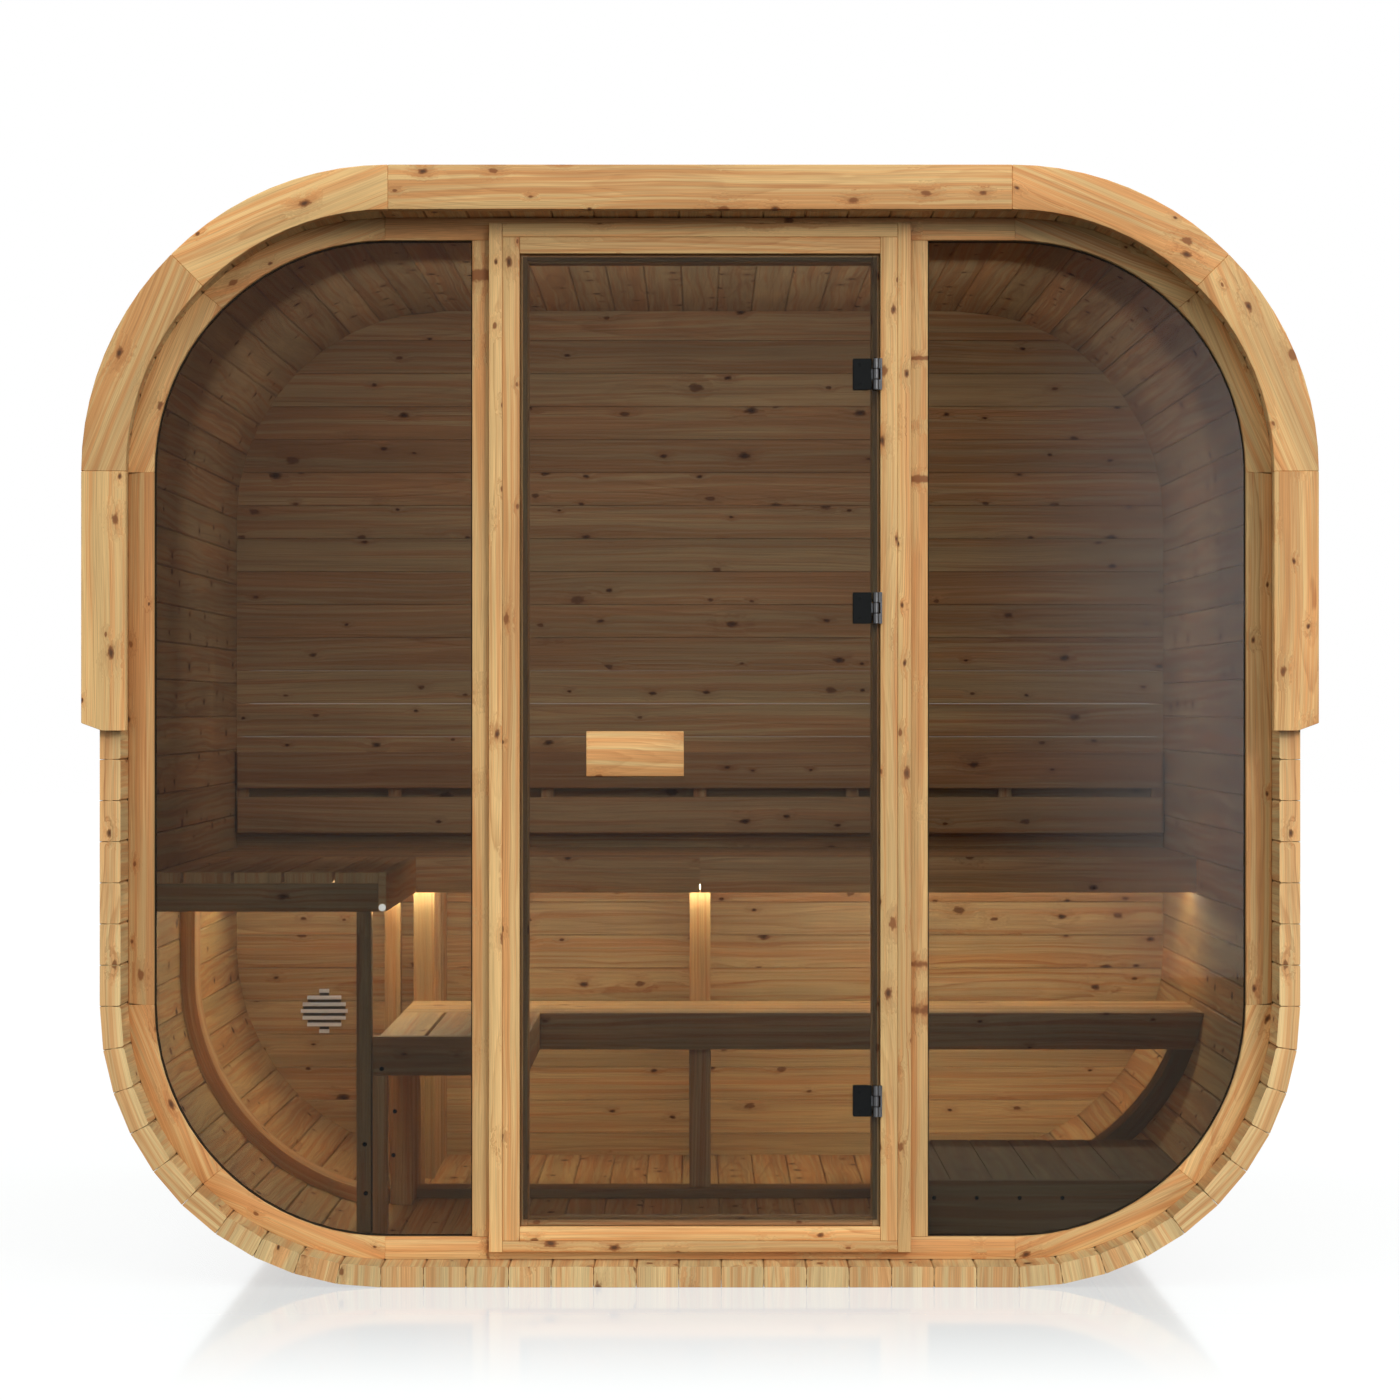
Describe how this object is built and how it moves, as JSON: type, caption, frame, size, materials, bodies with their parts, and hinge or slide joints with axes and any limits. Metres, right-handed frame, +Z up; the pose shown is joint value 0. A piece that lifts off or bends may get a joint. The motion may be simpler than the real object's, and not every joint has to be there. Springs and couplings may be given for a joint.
{
  "type": "cube sauna",
  "caption": "Outdoor cube sauna of wooden staves with a tinted glass front, a hinged glass door and L-shaped benches inside.",
  "frame": {"origin": "centre of the footprint, on the level floor under the staves", "axes": "+Z up, -Y towards the glazed front, +X to the right seen from the front"},
  "size_m": [2.26, 1.976, 2.054],
  "materials": {
    "stave_wood": "planed, oiled",
    "frame_wood": "planed, oiled",
    "bench_wood": "planed",
    "roof_boards": "planed, oiled",
    "bronze_glass": "tinted, clear",
    "black_metal": "satin",
    "steel": "satin",
    "light_diffuser": "milky",
    "vent_plastic": "matte"
  },
  "bodies": {
    "sauna": {"floor_staves": "stave_wood", "ceiling_staves": "stave_wood", "left_wall_staves": "stave_wood", "right_wall_staves": "stave_wood", "lower_left_corner": "stave_wood", "lower_right_corner": "stave_wood", "upper_left_corner": "stave_wood", "upper_right_corner": "stave_wood", "back_wall": "stave_wood", "roof_top": "roof_boards", "roof_left": "roof_boards", "roof_right": "roof_boards", "front_fascia_top": "frame_wood", "front_fascia_left": "frame_wood", "front_fascia_right": "frame_wood", "back_fascia_top": "frame_wood", "back_fascia_left": "frame_wood", "back_fascia_right": "frame_wood", "glazing_frame_left": "frame_wood", "glazing_frame_right": "frame_wood", "glazing_rail_top": "frame_wood", "glazing_rail_bottom": "frame_wood", "window_post_left": "frame_wood", "window_post_right": "frame_wood", "window_glass_left": "bronze_glass", "window_glass_right": "bronze_glass", "door_jamb_left": "frame_wood", "door_jamb_right": "frame_wood", "door_head": "frame_wood", "door_sill": "frame_wood", "door_hinge_leaves": "steel", "upper_bench_back": "bench_wood", "upper_bench_left": "bench_wood", "upper_front_board": "bench_wood", "upper_side_board": "bench_wood", "upper_front_beam": "bench_wood", "lower_bench_back": "bench_wood", "lower_bench_left": "bench_wood", "lower_front_board": "bench_wood", "lower_left_boards": "bench_wood", "upper_bench_supports": "bench_wood", "lower_bench_supports": "bench_wood", "bench_ribs": "bench_wood", "platform_deck": "bench_wood", "platform_frame": "bench_wood", "backrest_boards": "bench_wood", "backrest_battens": "bench_wood", "light_strip": "light_diffuser", "vent_grille": "vent_plastic"},
    "door": {"door_glass": "bronze_glass", "door_handle_outer": "frame_wood", "door_handle_inner": "frame_wood", "door_hinge_clamps": "black_metal"}
  },
  "joints": [
    {"name": "door_hinge", "type": "hinge", "parent": "sauna", "child": "door", "pos_m": [0.326, -0.889, 1.005], "axis": [0, 0, 1], "range_deg": [0, 100]}
  ]
}
